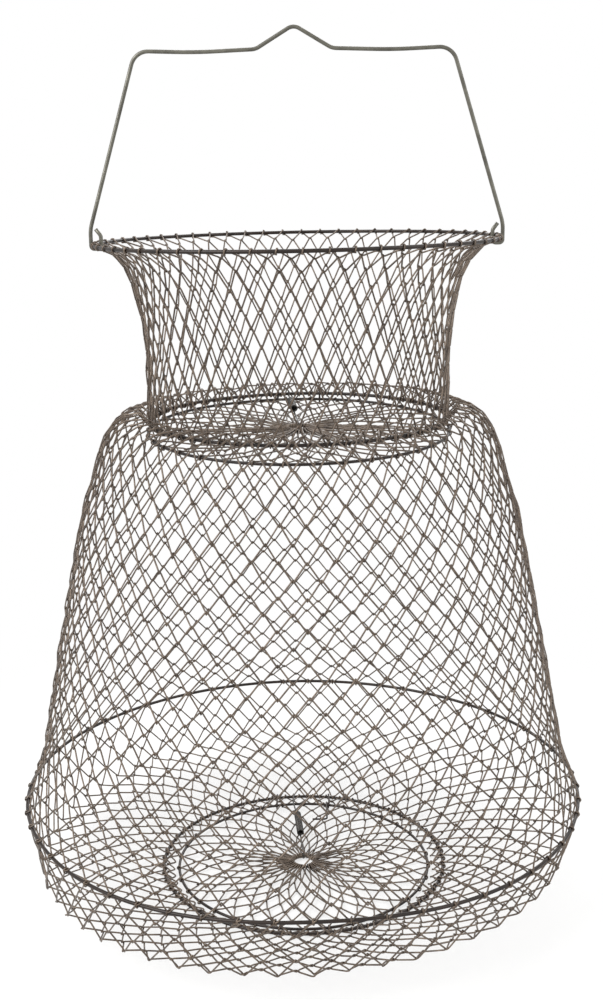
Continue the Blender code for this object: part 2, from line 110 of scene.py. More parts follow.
@dataclass(frozen=True)
class LacqueredWire:
    """Drawn steel wire under a thin tinted lacquer.

    The lacquer gives a soft highlight along the wire. It pools darker in places, and where wires rub it
    wears through to grey steel. On the rings the worn colour is tan, and its patches are a painted
    highlight as well as worn spots.
    """

    name: str
    lacquer: str
    pooled: str
    # Colour of the worn patches; on the rings they are also a painted highlight
    worn_and_highlight: str
    roughness: float
    patch_mm: float
    wear_and_highlight: float
    metallic: float = 0.55
    coat: float = 0.25
    coat_roughness: float = 0.22
    pool_edges: Point = (0.38, 0.66)
    # Size and edges of the worn patches, which on the rings are also a painted highlight
    rub_and_highlight_share: float = 0.31
    wear_and_highlight_edges: Point = (0.60, 0.74)
    gloss_edges: Point = (0.3, 0.7)
    gloss_swing: Point = (-0.07, 0.09)
    # The grain that drawing leaves is finer than 0.1 mm. It is drawn coarser here, so that it shows.
    grain_mm: float = 0.35
    grain_depth_mm: float = 0.05
    grain_strength: float = 0.12

    def material(self) -> bpy.types.Material:
        """Builds the finish once and returns it.

        Returns:
            The material.
        """
        found = bpy.data.materials.get(self.name)
        if found:
            return found
        finish = bpy.data.materials.new(self.name)
        finish.use_nodes = True
        tree = finish.node_tree
        shader = tree.nodes["Principled BSDF"]
        place = add_node(tree, "ShaderNodeTexCoord").outputs["Object"]
        patches, rubs_and_highlights, grain = (
            add_node(
                tree,
                "ShaderNodeTexNoise",
                {"Vector": place, "Scale": 1 / (size * MM), "Detail": detail, "Roughness": rough},
            ).outputs["Fac"]
            for size, detail, rough in (
                (self.patch_mm, 3.0, 0.6),
                (self.patch_mm * self.rub_and_highlight_share, 5.0, 0.7),
                (self.grain_mm, 2.0, 0.5),
            )
        )
        tint = self.layered(tree, patches, self.pool_edges, 1.0, linear(self.lacquer), self.pooled)
        # Patches in the worn colour: lacquer rubbed through, and on the rings a painted highlight too
        colour = self.layered(tree, rubs_and_highlights, self.wear_and_highlight_edges, self.wear_and_highlight, tint, self.worn_and_highlight)
        low, high = self.gloss_edges
        smooth, rough = (self.roughness + swing for swing in self.gloss_swing)
        gloss = add_node(
            tree,
            "ShaderNodeMapRange",
            {"Value": patches, "From Min": low, "From Max": high, "To Min": smooth, "To Max": rough},
        )
        relief = add_node(
            tree,
            "ShaderNodeBump",
            {"Height": grain, "Strength": self.grain_strength, "Distance": self.grain_depth_mm * MM},
        )
        tree.links.new(colour, shader.inputs["Base Color"])
        tree.links.new(gloss.outputs["Result"], shader.inputs["Roughness"])
        tree.links.new(relief.outputs["Normal"], shader.inputs["Normal"])
        shader.inputs["Metallic"].default_value = self.metallic
        shader.inputs["Coat Weight"].default_value = self.coat
        shader.inputs["Coat Roughness"].default_value = self.coat_roughness
        return finish

    @staticmethod
    def layered(
        tree: Tree, noise: Socket, edges: Point, most: float, below: Socket | Colour, above: str
    ) -> Socket:
        """Lays a colour over another where a noise is strong.

        Args:
            tree: The node tree.
            noise: The noise.
            edges: Noise values at which the upper colour starts and is full.
            most: How much of the upper colour shows where it is full.
            below: The lower colour.
            above: The upper colour, in hex.

        Returns:
            The mixed colour.
        """
        span = {"Value": noise, "From Min": edges[0], "From Max": edges[1], "To Max": most}
        share = add_node(tree, "ShaderNodeMapRange", span).outputs["Result"]
        parts = {"Factor": share, "A": below, "B": linear(above)}
        return add_node(tree, "ShaderNodeMix", parts, data_type="RGBA").outputs["Result"]


class Finish(Enum):
    """The basket's finishes, and the record's slot that each one dresses."""

    # Cold-drawn steel rings browned in hot oil: nearly black, with a dull warm sheen, and tan patches
    # # that are worn spots and a painted highlight.
    RING = (
        "browned_steel",
        # 6e563b paints the tan patches: worn spots and a painted highlight
        LacqueredWire("browned steel wire", "221409", "130a04", "6e563b", 0.42, 14, 0.35, 0.25, 0.05),
    )
    # The bail's drawn steel, dipped in olive lacquer: paler and greener than the rings, softly shining.
    BAIL = (
        "bail_steel",
        LacqueredWire("olive lacquered wire", "6b695f", "4f4d45", "96948a", 0.36, 11, 0.4),
    )
    # Fine soft steel wire, bent to zigzags, hooked together and dipped: greyish brown, rubbed in spots.
    NET = (
        "net_wire",
        LacqueredWire("lacquered net wire", "6b5d50", "473c33", "8d8275", 0.42, 6, 0.5),
    )
    # Hard spring wire, coiled and left in its oil: dark grey, with the sharpest highlight of the four.
    SPRING = (
        "spring_steel",
        LacqueredWire("oiled spring wire", "33302c", "211e1b", "6a665f", 0.30, 5, 0.3),
    )

    @property
    def slot(self) -> str:
        """The record's material slot."""
        return self.value[0]

    @property
    def material(self) -> bpy.types.Material:
        """The finish as a material."""
        return self.value[1].material()


def unit(vectors: Array) -> Array:
    """Scales vectors to a length of 1."""
    return vectors / np.maximum(np.linalg.norm(vectors, axis=-1, keepdims=True), 1e-12)


def squared(vectors: Array, axes: Array) -> Array:
    """The part of vectors that is square to unit axes, scaled to a length of 1."""
    return unit(vectors - np.sum(vectors * axes, axis=-1, keepdims=True) * axes)


def turned(vectors: Array, axes: Array, angles: Array) -> Array:
    """Turns vectors about unit axes by angles in radians.

    Args:
        vectors: Vectors, one per row.
        axes: Unit axes, one per row.
        angles: Angles, one per row.

    Returns:
        The turned vectors.
    """
    cosine = np.cos(angles)[..., None]
    sine = np.sin(angles)[..., None]
    along = np.sum(axes * vectors, axis=-1, keepdims=True)
    return vectors * cosine + np.cross(axes, vectors) * sine + axes * along * (1 - cosine)


def swept(paths: Array, radius: float, sides: int, closed: bool) -> tuple[Array, Array]:
    """Sweeps round wire along a batch of paths that have the same number of points.

    The section is carried along without spinning. On a closed path its leftover turn is spread evenly.

    Args:
        paths: Points of shape (paths, points, 3), in mm.
        radius: The wire's radius, in mm.
        sides: Corners of the section.
        closed: Whether each path meets its own start.

    Returns:
        The corners, of shape (n, 3) in mm, and the quads that join them.
    """
    batch, count, _ = paths.shape
    if closed:
        ahead = unit(np.roll(paths, -1, axis=1) - np.roll(paths, 1, axis=1))
    else:
        ahead = unit(np.gradient(paths, axis=1))
    across = np.empty_like(paths)
    seed = np.where(np.abs(ahead[:, 0, 2:3]) < 0.9, np.array([[0.0, 0, 1]]), np.array([[1.0, 0, 0]]))
    across[:, 0] = unit(np.cross(ahead[:, 0], seed))
    for i in range(1, count):
        across[:, i] = squared(across[:, i - 1], ahead[:, i])
    if closed:
        carried = squared(across[:, -1], ahead[:, 0])
        side = np.cross(ahead[:, 0], across[:, 0])
        slip = np.arctan2(np.sum(carried * side, axis=-1), np.sum(carried * across[:, 0], axis=-1))
        across = turned(across, ahead, -slip[:, None] * np.arange(count)[None] / count)
    second = np.cross(ahead, across)
    angles = 2 * np.pi * np.arange(sides) / sides
    cosine, sine = np.cos(angles)[:, None], np.sin(angles)[:, None]
    section = cosine * across[:, :, None] + sine * second[:, :, None]
    corners = (paths[:, :, None] + radius * section).reshape(-1, 3)
    steps = np.arange(count if closed else count - 1)
    start = np.arange(batch)[:, None, None] * count
    near = (steps[None, :, None] + start) * sides
    far = ((steps[None, :, None] + 1) % count + start) * sides
    side = np.arange(sides)[None, None]
    other = (side + 1) % sides
    quads = np.broadcast_arrays(near + side, near + other, far + other, far + side)
    return corners, np.stack(quads, axis=-1).reshape(-1, 4)


class WireMesh:
    """Collects swept wires and makes one mesh object of them."""

    def __init__(self, name: str, finish: Finish) -> None:
        """Starts an empty piece.

        Args:
            name: The object's name.
            finish: Its finish.
        """
        self.name = name
        self.finish = finish
        self.corners: list[Array] = []
        self.quads: list[Array] = []
        self.caps: list[list[int]] = []
        self.count = 0

    def add(self, paths: Array, radius: float, sides: int = 14, closed: bool = True) -> "WireMesh":
        """Adds wires along paths.

        Args:
            paths: Points of shape (paths, points, 3) or (points, 3), in mm.
            radius: The wire's radius, in mm.
            sides: Corners of its section.
            closed: Whether each wire meets its own start. An open wire gets rounded-off caps.

        Returns:
            This piece, so that calls can follow one another.
        """
        paths = np.asarray(paths, float)
        paths = paths[None] if paths.ndim == 2 else paths
        corners, quads = swept(paths, radius, sides, closed)
        if not closed:
            for index in range(len(paths)):
                first = self.count + index * paths.shape[1] * sides
                last = first + (paths.shape[1] - 1) * sides
                self.caps.append(list(range(first + sides - 1, first - 1, -1)))
                self.caps.append(list(range(last, last + sides)))
        self.corners.append(corners)
        self.quads.append(quads + self.count)
        self.count += len(corners)
        return self

    def make(self) -> bpy.types.Object:
        """Makes the object, in metres.

        Returns:
            The shaded mesh object.
        """
        corners = np.concatenate(self.corners) * MM
        quads = np.concatenate(self.quads)
        mesh = bpy.data.meshes.new(self.name)
        mesh.from_pydata(corners.tolist(), [], quads.tolist() + self.caps)
        mesh.shade_smooth()
        mesh.materials.append(self.finish.material)
        piece = bpy.data.objects.new(self.name, mesh)
        bpy.context.scene.collection.objects.link(piece)
        return piece


def arc(centre: Point | Vector, radius: float, start: float, end: float, steps: int) -> list[Vector]:
    """Points of an arc in a plane.

    Args:
        centre: The arc's centre, as (across, up) in mm.
        radius: Its radius, in mm.
        start: Where it starts, in degrees.
        end: Where it ends, in degrees.
        steps: How many stretches it has.

    Returns:
        The points, as (across, up).
    """
    angles = [math.radians(start + (end - start) * step / steps) for step in range(steps + 1)]
    across, up = centre
    return [Vector((across + radius * math.cos(a), up + radius * math.sin(a))) for a in angles]


def bent(corners: list[tuple[Point, float]], steps: int) -> list[Vector]:
    """A flat path through corners, with each bend drawn as an arc.

    Args:
        corners: Each corner's point and bend radius, in mm. The first and last have no bend.
        steps: How many stretches each bend has.

    Returns:
        The path's points.
    """
    path = [Vector(corners[0][0])]
    for index in range(1, len(corners) - 1):
        corner = Vector(corners[index][0])
        bend = corners[index][1]
        back = (Vector(corners[index - 1][0]) - corner).normalized()
        ahead = (Vector(corners[index + 1][0]) - corner).normalized()
        half = back.angle(ahead) / 2
        middle = corner + (back + ahead).normalized() * bend / math.sin(half)
        first = corner + back * bend / math.tan(half) - middle
        last = corner + ahead * bend / math.tan(half) - middle
        sweep = first.angle_signed(last)
        for step in range(steps + 1):
            path.append(middle + Matrix.Rotation(-sweep * step / steps, 2) @ first)
    path.append(Vector(corners[-1][0]))
    return path


def chord(radius: float, aside: float) -> float:
    """How far back a ring is at a place that far aside of its middle, in mm."""
    return math.sqrt(radius**2 - aside**2)


def rounded_line(stations: Array, values: Array, fine: Array) -> Array:
    """Runs a rounded line through values.

    Args:
        stations: Where the values are, rising.
        values: The values.
        fine: Where the line is read.

    Returns:
        The line's values.
    """
    slopes = np.gradient(values, stations)
    index = np.clip(np.searchsorted(stations, fine) - 1, 0, len(stations) - 2)
    span = stations[index + 1] - stations[index]
    t = (fine - stations[index]) / span
    return (
        values[index] * (2 * t**3 - 3 * t**2 + 1)
        + slopes[index] * span * (t**3 - 2 * t**2 + t)
        + values[index + 1] * (3 * t**2 - 2 * t**3)
        + slopes[index + 1] * span * (t**3 - t**2)
    )


@dataclass(frozen=True)
class Basket:
    """Where the basket's rings are, in mm."""

    base_wire: float = 1.9
    base_radius: float = 86.0
    hoop_wire: float = 2.0
    hoop_radius: float = 165.0
    neck_wire: float = 2.0
    neck_radius: float = 84.5
    rim_wire: float = 2.1
    rim_radius: float = 111.5
    belly_depth: float = 54.1
    body_height: float = 223.4
    neck_height: float = 99.3

    @property
    def base_level(self) -> float:
        """Height of the base ring's centre line."""
        return self.base_wire / 2

    @property
    def hoop_level(self) -> float:
        """Height of the main hoop's centre line."""
        return self.base_level + self.belly_depth

    @property
    def neck_level(self) -> float:
        """Height of the neck ring's centre line."""
        return self.hoop_level + self.body_height

    @property
    def rim_level(self) -> float:
        """Height of the rim's centre line."""
        return self.neck_level + self.neck_height


@dataclass(frozen=True)
class Stance:
    """How far the soft basket's rings stray from level as it stands.

    The net lets the hoop droop between front and sides, and the neck and rim lean a little to one side.
    """

    basket: Basket
    # Angle round the hoop, counted from the right side to the back, and the rise there
    hoop_droop: tuple[Point, ...] = (
        *((0, -0.8), (40, -1.2), (90, -1.1), (140, -1.7), (180, -1.2), (200, -1.5), (225, -3.2)),
        *((245, -2.4), (262, -0.4), (274, 0.4), (284, -0.2), (300, -2.0), (320, -3.0), (342, -1.5)),
        (360, -0.8),
    )
    neck_lean: float = 0.4
    rim_lean: float = 0.6

    def lift(self, points: Array) -> Array:
        """Works out how much higher the wire stands than on a true basket.

        Args:
            points: Places on the true basket, in mm, with x, y and z last.

        Returns:
            The rise at each place, in mm.
        """
        x, y, z = np.moveaxis(points, -1, 0)
        around = np.degrees(np.arctan2(y, x)) % 360
        angles, drops = (np.array(column, float) for column in zip(*self.hoop_droop))
        strays = np.stack(
            [
                np.zeros_like(x),
                rounded_line(angles, drops, around),
                x * math.tan(math.radians(self.neck_lean)),
                x * math.tan(math.radians(self.rim_lean)),
            ]
        )
        b = self.basket
        place = np.interp(z, [b.base_level, b.hoop_level, b.neck_level, b.rim_level], [0, 1, 2, 3])
        below = np.clip(np.floor(place).astype(int), 0, 2)
        share = place - below
        low = np.take_along_axis(strays, below[None], 0)[0]
        high = np.take_along_axis(strays, below[None] + 1, 0)[0]
        return low * (1 - share) + high * share


@dataclass
class Ring:
    """A ring of drawn wire, hand-bent, so that it wavers a little."""

    name: str
    node: str
    body: str
    radius: float
    wire: float
    centre: Place
    tilt: float = 0.0
    finish: Finish = Finish.RING
    waver: float = 0.25
    rises: tuple[tuple[int, float], ...] = ((3, 0.25), (5, 0.175))
    flats: int = 4
    flat_depth: float = 0.3
    points: int = 288
    stance: Stance | None = None

    def build(self) -> None:
        """Makes the ring in place of its CAD node."""
        angles = 2 * np.pi * np.arange(self.points) / self.points
        phase = sum(map(ord, self.name)) % 17
        lift = self.waver * sum(
            depth * np.sin(count * angles + times * phase)
            for times, (count, depth) in enumerate(self.rises, start=1)
        )
        radius = self.radius - self.waver * self.flat_depth * (1 + np.cos(self.flats * angles + phase))
        path = np.stack([radius * np.cos(angles), radius * np.sin(angles), lift], axis=-1)
        turn = np.array(Matrix.Rotation(math.radians(-self.tilt), 3, "X"))
        path = path @ turn.T + np.array(self.centre)
        if self.stance:
            path[:, 2] += self.stance.lift(path)
        piece = WireMesh(self.name, self.finish).add(path, self.wire / 2).make()
        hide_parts(self.node)
        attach(piece, self.body)


@dataclass(frozen=True)
class Hooks:
    """The places round one level of a net where its wires turn back, on other hooks or round a ring."""

    knots: Array
    bends: Array
    outward: Array
    away: Array
    ring: float | None

    def following(self) -> "Hooks":
        """The same hooks, each counted one cell on."""
        parts = (self.knots, self.bends, self.outward, self.away)
        return Hooks(*(np.roll(part, -1, axis=0) for part in parts), self.ring)


@dataclass
class KnittedNet:
    """A net of round zigzag wires, one to a row, whose peaks hook over the peaks of the rows beside it.

    It lies on a surface of revolution. The profile runs from its first row to its last, and the net's
    outer face is to the left of that run, seen with the axis on the left. Pairs of values belong to the
    first and the last row.
    """

    name: str
    profile: list[Point]
    rows: int
    phase: float = 0.0
    columns: int = 57
    wire: float = 0.92
    thickness: float = 1.0
    first_ring: float | None = None
    last_ring: float | None = None
    # Height and row pitch there
    pitches: tuple[Point, ...] = ((0, 8), (1, 8))
    drift: float = 0.0
    crowding: float = 0.029
    bunching: float = 0.0
    bunches: tuple[tuple[int, float], ...] = ((5, 0.55), (9, 0.4))
    pleats: int = 7
    pleat_height: float = 6.0
    sway: tuple[Point, Point] = ((0.0, 0.0), (0.0, 0.0))
    leans: Point = (0.0, 0.0)
    # How far hooks stray across the net. Round it they stray half as far, less near a door's middle.
    slack: float = 0.35
    slack_round: float = 0.5
    slack_radius: float = 20.0
    stance: Stance | None = None
    seed: int = 1
    centre: Place = (0, 0, 0)
    tilt: float = 0.0
    profile_steps: int = 2400
    slope_reach: float = 0.5
    wire_sides: int = 6
    leg_points: tuple[float, ...] = (0.0, 0.045, 0.15, 0.42, 0.7, 0.85, 0.955)
    wrap_points: int = 7
    # Shares of a leg over which it leaves a hook, leaves a ring, or runs inside a ring's loop
    hook_share: float = 0.15
    ring_share: float = 0.3
    loop_share: float = 0.1
    # In wire diameters: how far hooks overlap, how far a loop stands off its ring, and how far it leans
    overlap: float = 0.85
    stand_off: float = 0.55
    loop_lean: float = 1.4

    def levels(self) -> tuple[Array, Array, Array]:
        """Places the rows' hooks along the profile.

        Returns:
            Radius and height of each level, and the profile's unit direction there.
        """
        knots = np.array(self.profile, float)
        lengths = np.concatenate([[0], np.cumsum(np.linalg.norm(np.diff(knots, axis=0), axis=1))])
        fine = np.linspace(0, lengths[-1], self.profile_steps)
        curve = np.stack([rounded_line(lengths, knots[:, i], fine) for i in (0, 1)], axis=-1)
        steps = np.linalg.norm(np.diff(curve, axis=0), axis=1)
        run = np.concatenate([[0], np.cumsum(steps)])
        heights, pitches = zip(*sorted(self.pitches))
        passed = np.concatenate([[0], np.cumsum(steps / np.interp(curve[1:, 1], heights, pitches))])
        stations = np.interp(np.linspace(0, passed[-1], self.rows + 1), passed, run)
        spots, fore, aft = (
            np.stack([np.interp(stations + ahead, run, curve[:, i]) for i in (0, 1)], axis=-1)
            for ahead in (0, self.slope_reach, -self.slope_reach)
        )
        return spots[:, 0], spots[:, 1], unit(fore - aft)

    def wires(self) -> list[Array]:
        """Works out each row's wire.

        Returns:
            One closed path of points in mm for each row, of shape (points, 3).
        """
        radius, height, along = self.levels()
        chance = np.random.default_rng(self.seed)
        share = np.linspace(0, 1, self.rows + 1)
        cell = 2 * np.pi / self.columns
        stray = chance.normal(0, 1, (3, self.rows + 1, self.columns)) * self.slack
        if self.first_ring is not None:
            stray[1:, 0] = 0
        if self.last_ring is not None:
            stray[1:, -1] = 0
        cells = np.arange(self.columns)[None] + self.phase + np.arange(self.rows + 1)[:, None] / 2
        angle = cells * cell + self.drift * share[:, None] * cell
        loose = stray[0] * self.slack_round / np.maximum(radius[:, None], self.slack_radius)
        angle = angle + self.crowding * np.cos(angle) + loose
        starts = chance.uniform(0, 2 * np.pi, 3)
        gathered = sum(
            depth * np.sin(count * angle + start) / count
            for (count, depth), start in zip(self.bunches, starts)
        )
        angle = angle + self.bunching * share[:, None] ** 2 * gathered
        belly = self.bunching * share[:, None] * (1 - share[:, None])
        pleat = self.pleat_height * belly * np.sin(self.pleats * angle + starts[2])
        out = np.stack([-along[:, 1], along[:, 0]], axis=-1)
        spot_r = radius[:, None] + along[:, :1] * stray[1] + out[:, :1] * stray[2]
        spot_z = height[:, None] + along[:, 1:] * stray[1] + out[:, 1:] * stray[2] + pleat
        cosine, sine = np.cos(angle), np.sin(angle)
        across, behind = (np.interp(share, [0, 1], ends)[:, None] for ends in zip(*self.sway))
        knots = np.stack([spot_r * cosine + across, spot_r * sine + behind, spot_z], axis=-1)
        if self.stance:
            knots[..., 2] += self.stance.lift(knots)
        slopes = np.tan(np.radians(np.interp(share, [0, 1], self.leans)))
        knots[..., 2] += knots[..., 0] * slopes[:, None]
        outward = self.spread(out, cosine, sine)
        forward = self.spread(along, cosine, sine)
        return [self.row_wire(row, knots, outward, forward) for row in range(self.rows)]

    @staticmethod
    def spread(directions: Array, cosine: Array, sine: Array) -> Array:
        """Turns directions in the profile into directions in space.

        Args:
            directions: Each level's direction, as (radial, height).
            cosine: Cosine of each hook's angle round the net.
            sine: Sine of it.

        Returns:
            The direction at each hook.
        """
        radial = directions[:, None, 0]
        heights = np.broadcast_to(directions[:, None, 1], cosine.shape)
        return np.stack([radial * cosine, radial * sine, heights], axis=-1)

    def row_wire(self, row: int, knots: Array, outward: Array, forward: Array) -> Array:
        """Runs one row's wire through its hooks.

        Args:
            row: The row.
            knots: Hook places of every level.
            outward: The net's outward direction there.
            forward: The profile's direction there.

        Returns:
            The wire's closed path.
        """
        last = row + 1
        rings = (self.first_ring if row == 0 else None, self.last_ring if last == self.rows else None)
        upper, lower = (
            Hooks(knots[i], knots[i] + away * self.overlap * self.wire, outward[i], away, ring)
            for i, away, ring in ((row, -forward[row], rings[0]), (last, forward[last], rings[1]))
        )
        points = self.leg(upper, lower, -1) + self.leg(lower, upper.following(), 1)
        return np.stack(points, axis=1).reshape(-1, 3)

    def leg(self, near: Hooks, far: Hooks, face: int) -> list[Array]:
        """Runs the legs between two levels, with the loop round the near level's ring if it has one.

        Args:
            near: The level that the legs leave.
            far: The level that they reach.
            face: 1 for legs on the net's outer face, -1 for its inner one.

        Returns:
            The legs' points, each with one place for every leg.
        """
        points = []
        first, last = 0.0, 1.0
        if near.ring is not None:
            points += self.loop(near, far, face)
            points.append(near.knots + near.outward * face * self.ring_reach(near.ring))
            first = self.loop_share
        if far.ring is not None:
            last = 1 - self.loop_share
        for share in self.leg_points:
            if first <= share <= last:
                rise = self.rise(share, near.ring) if share < 0.5 else self.rise(1 - share, far.ring)
                outward = near.outward * (1 - share) + far.outward * share
                points.append(near.bends * (1 - share) + far.bends * share + outward * face * rise)
        if far.ring is not None:
            points.append(far.knots + far.outward * face * self.ring_reach(far.ring))
        return points

    def loop(self, near: Hooks, far: Hooks, face: int) -> list[Array]:
        """Takes the wires round the near level's ring.

        Args:
            near: The level on the ring.
            far: The level that the wires go on to.
            face: The face that they leave on, as in leg.

        Returns:
            The loops' points, each with one place for every loop.
        """
        reach = self.ring_reach(near.ring)
        sideways = np.cross(near.outward, near.away)
        towards = np.sum(sideways * (far.bends - near.bends), axis=-1, keepdims=True)
        sideways = sideways * np.sign(towards)
        return [
            near.knots
            - near.outward * face * math.cos(turn) * reach
            + near.away * math.sin(turn) * reach
            + sideways * (turn / math.pi - 0.5) * self.wire * self.loop_lean
            for turn in np.linspace(0, math.pi, self.wrap_points)[1:-1]
        ]

    def rise(self, gone: float, ring: float | None) -> float:
        """How far a leg lies from the middle of the net.

        Args:
            gone: Share of the leg between the nearest hook and the place.
            ring: Wire of the ring that the hook is on, or None.

        Returns:
            The distance, in mm.
        """
        half = self.thickness / 2
        if ring is None:
            return half * math.sin(min(gone / self.hook_share, 1) * math.pi / 2)
        return half + (self.ring_reach(ring) - half) * max(1 - gone / self.ring_share, 0)

    def ring_reach(self, ring: float) -> float:
        """How far the loops' middle lies from the middle of the ring's wire."""
        return ring / 2 + self.wire * self.stand_off

    def build(self, bands: int = 1) -> list[bpy.types.Object]:
        """Makes the net as one object for each band of rows.

        Args:
            bands: How many objects the rows are shared out over.

        Returns:
            The objects.
        """
        turn = np.array(Matrix.Rotation(math.radians(-self.tilt), 3, "X"))
        paths = [path @ turn.T + np.array(self.centre) for path in self.wires()]
        for path in paths:
            path[:, 2] = np.maximum(path[:, 2], self.wire / 2)
        pieces = []
        for band, chosen in enumerate(np.array_split(np.arange(self.rows), bands)):
            name = f"{self.name}_{band + 1}" if bands > 1 else self.name
            mesh = WireMesh(name, Finish.NET)
            for row in chosen:
                mesh.add(paths[row], self.wire / 2, self.wire_sides)
            pieces.append(mesh.make())
        return pieces


@dataclass
class Walls:
    """The basket's own nets: neck, body and bottom, and the bottom's edge beside its door."""

    basket: Basket
    stance: Stance
    # Radius of the body net, and height against the neck ring
    shoulder: tuple[Point, ...] = (
        *((91.9, 6.8), (99.5, 3.8), (107.3, -1.9), (110.7, -7.7), (113.2, -13.8), (114.5, -19.4)),
        *((118.1, -31.2), (124.1, -49.0), (130.8, -79.2), (147.5, -160.0), (155.4, -198.6)),
    )
    # Radius of the neck net, and height against the rim
    flare: tuple[Point, ...] = (
        *((99.7, -5.5), (95.4, -10.9), (89.3, -27.6), (86.2, -44.3), (85.0, -55.5), (84.8, -78.6)),
    )
    # Height in the body net, and row pitch there
    body_pitches: tuple[Point, ...] = (
        *((55, 7.6), (90, 7.75), (106, 7.95), (123, 8.08), (162, 8.35), (200, 8.45)),
        *((220, 8.7), (239, 9.35), (258, 9.5), (270, 9.0), (285, 8.7)),
    )
    fold_inset: float = 7.4
    fold_drop: float = 33.5
    fold_sway: float = 0.4
    fold_lean: float = 2.7
    skirt_rows: int = 4
    floor_rows: int = 10
    lip_radius: float = 79.8
    lip_centre: float = -4.8

    def build(self) -> None:
        """Makes the three nets and hangs each between its two rings."""
        b = self.basket
        neck = KnittedNet(
            "knitted_neck_net",
            self.profile((b.rim_radius, b.rim_level), self.flare, (b.neck_radius, b.neck_level)),
            rows=11, drift=-0.27, first_ring=b.rim_wire, last_ring=b.neck_wire, stance=self.stance,
            seed=3,
        )
        self.hang(neck.build(), "neck_net", "neck", "rim", b.neck_level, b.rim_level)
        body = KnittedNet(
            "knitted_body_net",
            self.profile((b.neck_radius, b.neck_level), self.shoulder, (b.hoop_radius, b.hoop_level)),
            rows=31, phase=0.5, pitches=self.body_pitches, first_ring=b.neck_wire,
            last_ring=b.hoop_wire, stance=self.stance, seed=5,
        )
        self.hang(body.build(3), "body_net", "hoop", "neck", b.hoop_level, b.neck_level)
        fold = (b.hoop_radius - self.fold_inset, b.hoop_level - self.fold_drop)
        skirt = KnittedNet(
            "knitted_skirt_net",
            [(b.hoop_radius, b.hoop_level), fold],
            rows=self.skirt_rows, first_ring=b.hoop_wire, sway=((0, 0), (self.fold_sway, 0)),
            leans=(0, self.fold_lean), stance=self.stance, seed=7,
        )
        floor = KnittedNet(
            "knitted_floor_net",
            [fold, (b.base_radius, b.base_level)],
            rows=self.floor_rows, phase=self.skirt_rows / 2, last_ring=b.base_wire,
            sway=((self.fold_sway, 0), (0, 0)), leans=(self.fold_lean, 0), stance=self.stance,
            seed=9,
        )
        bottom = skirt.build() + floor.build()
        self.hang(bottom, "bottom_net", "base", "hoop", b.base_level, b.hoop_level)
        lip = KnittedNet(
            "knitted_lip_net",
            [(b.base_radius, b.base_level), (self.lip_radius, b.base_level)],
            rows=2, phase=0.5, first_ring=b.base_wire, sway=((0, 0), (0, self.lip_centre)),
            slack=0.15, seed=15,
        )
        for piece in lip.build():
            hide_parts("bottom_net")
            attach(piece, "base")

    @staticmethod
    def profile(first: Point, between: tuple[Point, ...], last: Point) -> list[Point]:
        """The profile between two rings, through places whose heights are measured from the first."""
        return [first, *[(radius, first[1] + height) for radius, height in between], last]

    @staticmethod
    def hang(
        pieces: list[bpy.types.Object],
        node: str,
        low: str,
        high: str,
        low_level: float,
        high_level: float,
    ) -> None:
        """Puts pieces in place of a CAD net, and bakes their placing into their meshes.

        Args:
            pieces: The net's objects.
            node: The CAD net.
            low: The lower body. Not used.
            high: The upper body. Not used.
            low_level: Height of the lower ring, in mm. Not used.
            high_level: Height of the upper ring, in mm. Not used.
        """
        for piece in pieces:
            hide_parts(node)
            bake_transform(piece)


@dataclass
class Door:
    """A round sprung door: its ring, gathered net and the small ring in its middle."""

    place: str
    body: str
    radius: float
    hinge_spread: float
    hinge: Point
    tilt: float
    phase: float
    seed: int
    wire: float = 1.7
    gather_radius: float = 7.2
    gather_wire: float = 1.6
    rows: int = 8
    columns: int = 34
    bunching: float = 0.55
    net_dip: float = 0.6

    @property
    def reach(self) -> float:
        """How far the middle of the door is from its hinge."""
        return chord(self.radius, self.hinge_spread)

    @property
    def centre(self) -> Place:
        """The middle of the door."""
        slope = math.radians(self.tilt)
        y, z = self.hinge
        return 0.0, y - self.reach * math.cos(slope), z + self.reach * math.sin(slope)

    def build(self) -> None:
        """Makes the door in place of its CAD nodes."""
        for part, radius, wire, more in (
            ("door_ring", self.radius, self.wire, {}),
            ("gather_ring", self.gather_radius, self.gather_wire, {"points": 72, "waver": 0.1}),
        ):
            name = f"{self.place}_{part}"
            Ring(f"round_{name}", name, self.body, radius, wire, self.centre, self.tilt, **more).build()
        net = KnittedNet(
            f"knitted_{self.place}_door_net",
            [(self.radius, 0), (self.radius / 2, -self.net_dip), (self.gather_radius, 0)],
            rows=self.rows, phase=self.phase, columns=self.columns, crowding=0,
            bunching=self.bunching, first_ring=self.wire, last_ring=self.gather_wire,
            seed=self.seed, centre=self.centre, tilt=self.tilt,
        )
        for piece in net.build():
            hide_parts(f"{self.place}_door_net")
            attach(piece, self.body)


@dataclass(frozen=True)
class DoorPlaces:
    """Where the doors hang: one under the neck ring, the other a little above the base ring."""

    basket: Basket
    top_radius: float = 85.9
    top_spread: float = 13.2
    top_drop: float = 3.8
    bottom_radius: float = 76.0
    bottom_spread: float = 17.4
    bottom_inset: float = 15.8
    bottom_rise: float = 2.1

    def top(self) -> Door:
        """Places the door in the neck.

        Returns:
            The door.
        """
        radius, spread = self.top_radius, self.top_spread
        hinge = (chord(radius, spread), self.basket.neck_level - self.top_drop)
        return Door("top", "top_door", radius, spread, hinge, tilt=-2.0, phase=0.0, seed=11)

    def bottom(self) -> Door:
        """Places the door in the floor.

        Returns:
            The door.
        """
        radius, spread = self.bottom_radius, self.bottom_spread
        middle = self.basket.base_radius - self.bottom_inset - radius
        hinge = (middle + chord(radius, spread), self.basket.base_level + self.bottom_rise)
        return Door("bottom", "bottom_door", radius, spread, hinge, tilt=-0.6, phase=0.5, seed=13)


